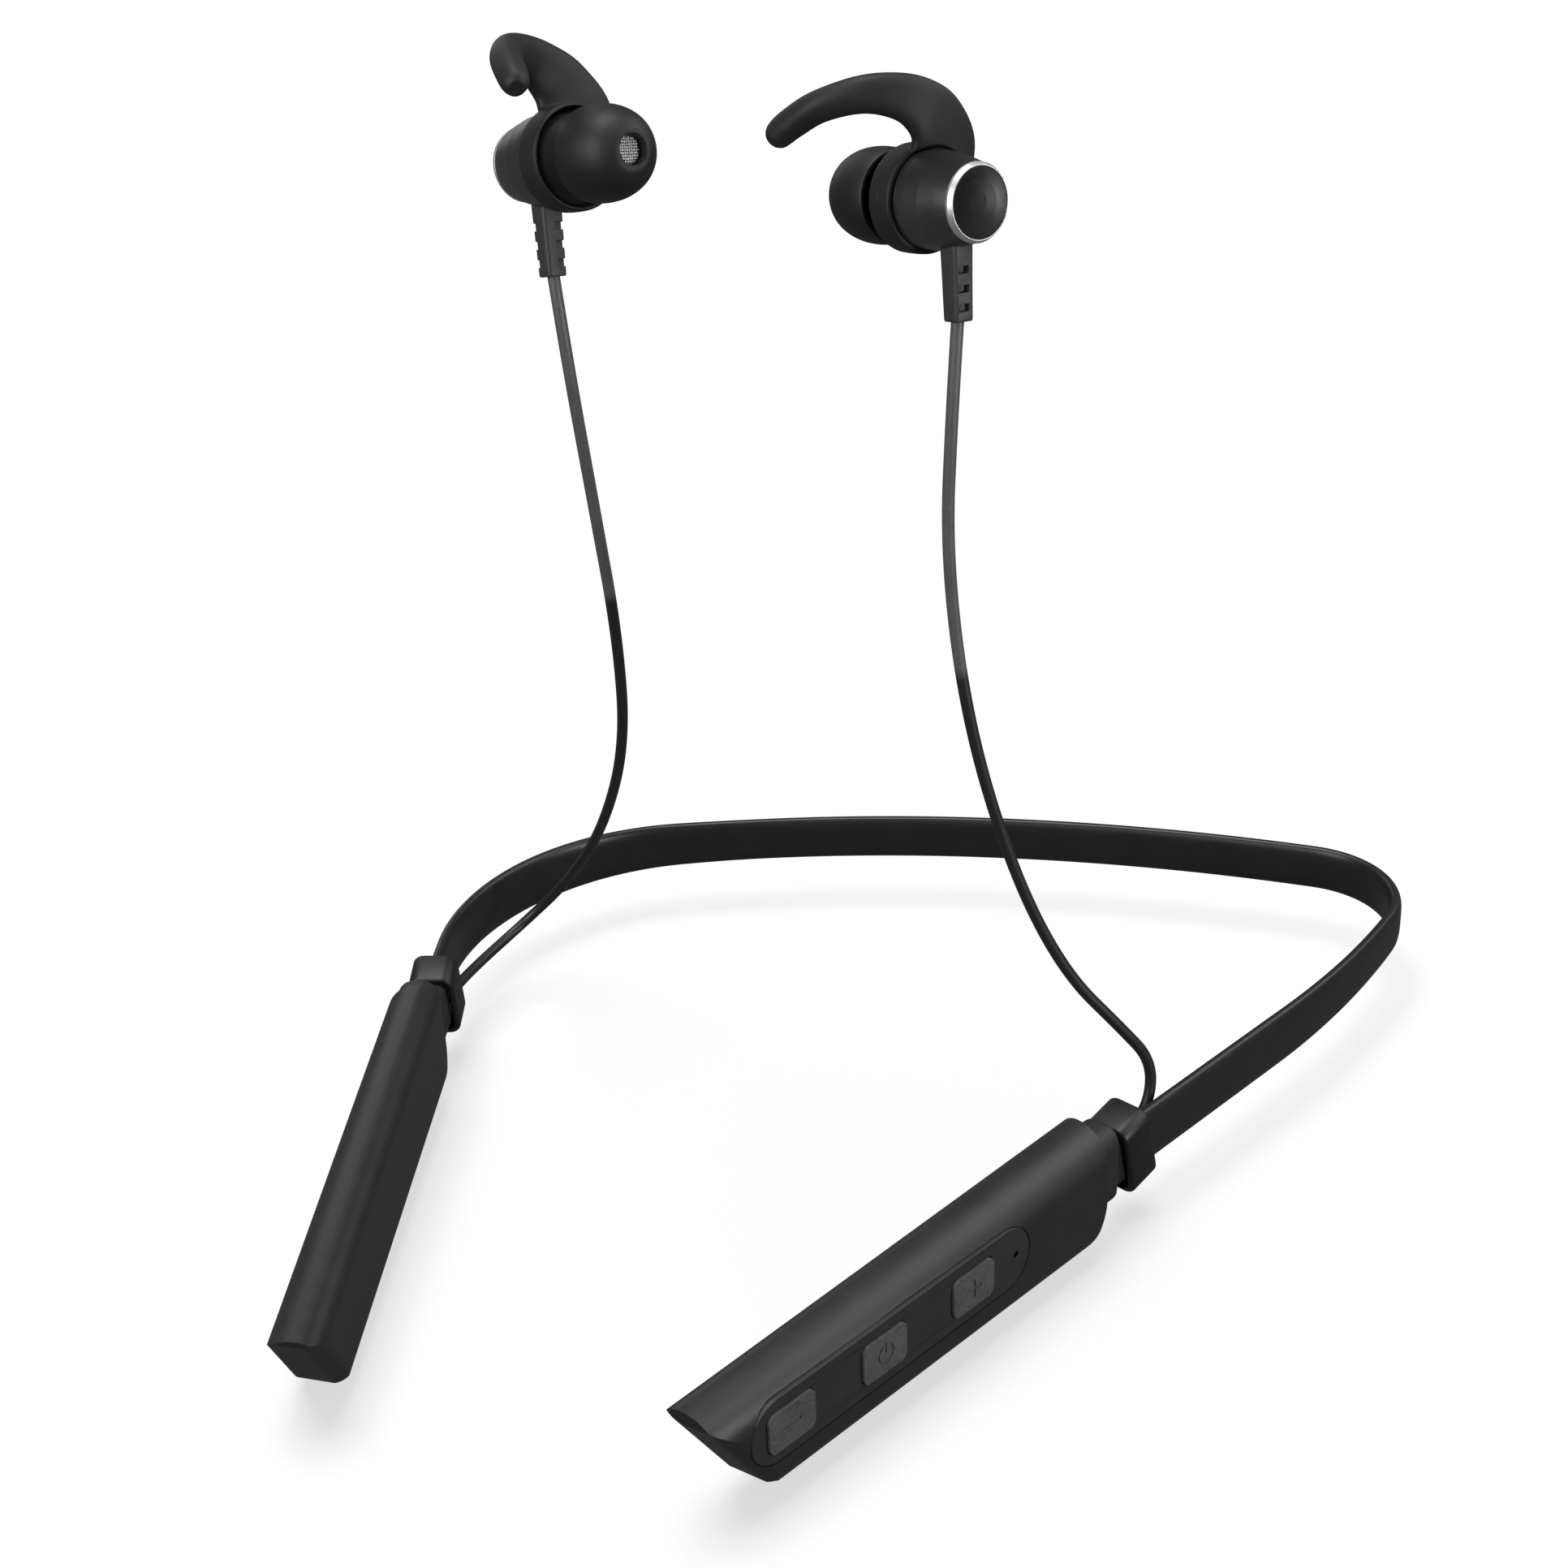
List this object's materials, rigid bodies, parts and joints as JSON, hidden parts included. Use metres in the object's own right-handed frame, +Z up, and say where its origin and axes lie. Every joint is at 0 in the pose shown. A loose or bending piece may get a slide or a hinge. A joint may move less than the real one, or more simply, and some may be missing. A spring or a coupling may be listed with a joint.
{
  "type": "neckband earphones",
  "caption": "Wireless neckband earphones: a flexible band with a slim housing on each arm and a winged in-ear bud on a cord from each.",
  "frame": {"origin": "on the band's inner face, behind the wearer's neck, at the band's mid height", "axes": "+Z up, -Y the way the wearer faces, +X towards the housing with the buttons"},
  "size_m": [0.1504, 0.1835, 0.1695],
  "materials": {
    "band_silicone": "matte",
    "spring_steel": "drawn",
    "boot_rubber": "matte",
    "keeper_rubber": "satin",
    "housing_plastic": "satin",
    "panel_plastic": "matte",
    "button_rubber": "grained",
    "board_laminate": "solder mask",
    "chip_plastic": "moulded",
    "nickel_can": "plated",
    "screw_steel": "plated",
    "light_guide": "clear",
    "cell_foil": "foil",
    "foam_pad": "foam",
    "shell_metal": "gloss black",
    "rim_metal": "polished",
    "disc_metal": "satin black",
    "magnet_metal": "plated",
    "front_plastic": "satin",
    "driver_can": "plated",
    "mesh_steel": "woven",
    "ear_silicone": "matte",
    "wing_silicone": "matte",
    "cord_rubber": "satin"
  },
  "bodies": {
    "neckband": {"band_middle": "band_silicone", "middle_core": "spring_steel"},
    "right_arm": {"right_band": "band_silicone", "right_core": "spring_steel", "right_boot": "boot_rubber", "right_outer_shell": "housing_plastic", "right_inner_shell": "housing_plastic", "right_end_cap": "housing_plastic", "button_panel": "panel_plastic", "circuit_board": "board_laminate", "bluetooth_chip": "chip_plastic", "microphone": "nickel_can", "status_led": "light_guide", "tact_switches": "nickel_can", "usb_connector": "nickel_can", "board_screws": "screw_steel", "right_cord": "cord_rubber"},
    "minus_button": {"minus_button": "button_rubber"},
    "power_button": {"power_button": "button_rubber"},
    "plus_button": {"plus_button": "button_rubber"},
    "port_cover": {"usb_port_cover": "boot_rubber"},
    "left_arm": {"left_band": "band_silicone", "left_core": "spring_steel", "left_boot": "boot_rubber", "left_outer_shell": "housing_plastic", "left_inner_shell": "housing_plastic", "left_end_cap": "housing_plastic", "battery": "cell_foil", "battery_board": "board_laminate", "battery_pad": "foam_pad", "left_cord": "cord_rubber"},
    "right_ring": {"right_keeper_ring": "keeper_rubber"},
    "right_bud": {"right_strain_relief": "boot_rubber", "right_rear_shell": "shell_metal", "right_rim": "rim_metal", "right_back_disc": "disc_metal", "right_magnet": "magnet_metal", "right_driver": "driver_can", "right_front_shell": "front_plastic", "right_mesh": "mesh_steel"},
    "right_wing": {"right_wing": "wing_silicone"},
    "right_tip": {"right_ear_tip": "ear_silicone"},
    "left_ring": {"left_keeper_ring": "keeper_rubber"},
    "left_bud": {"left_strain_relief": "boot_rubber", "left_rear_shell": "shell_metal", "left_rim": "rim_metal", "left_back_disc": "disc_metal", "left_magnet": "magnet_metal", "left_driver": "driver_can", "left_front_shell": "front_plastic", "left_mesh": "mesh_steel"},
    "left_wing": {"left_wing": "wing_silicone"},
    "left_tip": {"left_ear_tip": "ear_silicone"}
  },
  "joints": [
    {"name": "right_arm_flex", "type": "hinge", "parent": "neckband", "child": "right_arm", "pos_m": [0.07299, 0.00614, 0], "axis": [0, 0, 1], "range_deg": [0, 12], "stiffness_Nm_per_rad": 0.2},
    {"name": "left_arm_flex", "type": "hinge", "parent": "neckband", "child": "left_arm", "pos_m": [-0.06839, -0.04172, 0], "axis": [0, 0, -1], "range_deg": [0, 12], "stiffness_Nm_per_rad": 0.2},
    {"name": "minus_press", "type": "slide", "parent": "right_arm", "child": "minus_button", "axis": [-0.9397, 0.342, 0], "range_m": [0, 0.0003], "stiffness_N_per_m": 2000, "springref_m": -0.0002},
    {"name": "power_press", "type": "slide", "parent": "right_arm", "child": "power_button", "axis": [-0.9397, 0.342, 0], "range_m": [0, 0.0003], "stiffness_N_per_m": 2000, "springref_m": -0.0002},
    {"name": "plus_press", "type": "slide", "parent": "right_arm", "child": "plus_button", "axis": [-0.9397, 0.342, 0], "range_m": [0, 0.0003], "stiffness_N_per_m": 2000, "springref_m": -0.0002},
    {"name": "port_cover_hinge", "type": "hinge", "parent": "right_arm", "child": "port_cover", "pos_m": [0.04268, -0.1092, -0.0093], "axis": [0.9397, -0.342, 0], "range_deg": [0, 100]},
    {"name": "right_ring_slide", "type": "slide", "parent": "right_arm", "child": "right_ring", "axis": [-0.342, -0.9397, 0], "range_m": [-0.002, 0.001]},
    {"name": "right_bud_tilt", "type": "hinge", "parent": "right_arm", "child": "right_bud", "pos_m": [0.02884, -0.08513, 0.12484], "axis": [-0.8723, 0.4736, -0.1219], "range_deg": [-8, 8], "stiffness_Nm_per_rad": 0.02},
    {"name": "right_wing_turn", "type": "hinge", "parent": "right_bud", "child": "right_wing", "pos_m": [0.0321, -0.0858, 0.1391], "axis": [-0.8723, 0.4736, -0.1219], "range_deg": [-12, 12]},
    {"name": "right_tip_slide", "type": "slide", "parent": "right_bud", "child": "right_tip", "axis": [-0.8723, 0.4736, -0.1219], "range_m": [0, 0.006]},
    {"name": "left_ring_slide", "type": "slide", "parent": "left_arm", "child": "left_ring", "axis": [0.3419, -0.9394, -0.0262], "range_m": [-0.0004, 0.002]},
    {"name": "left_bud_tilt", "type": "hinge", "parent": "left_arm", "child": "left_bud", "pos_m": [-0.02783, -0.08876, 0.12697], "axis": [0.8758, -0.4271, 0.225], "range_deg": [-8, 8], "stiffness_Nm_per_rad": 0.02},
    {"name": "left_wing_turn", "type": "hinge", "parent": "left_bud", "child": "left_wing", "pos_m": [-0.0341, -0.0837, 0.1392], "axis": [0.8758, -0.4271, 0.225], "range_deg": [-12, 12]},
    {"name": "left_tip_slide", "type": "slide", "parent": "left_bud", "child": "left_tip", "axis": [0.8758, -0.4271, 0.225], "range_m": [0, 0.006]}
  ]
}
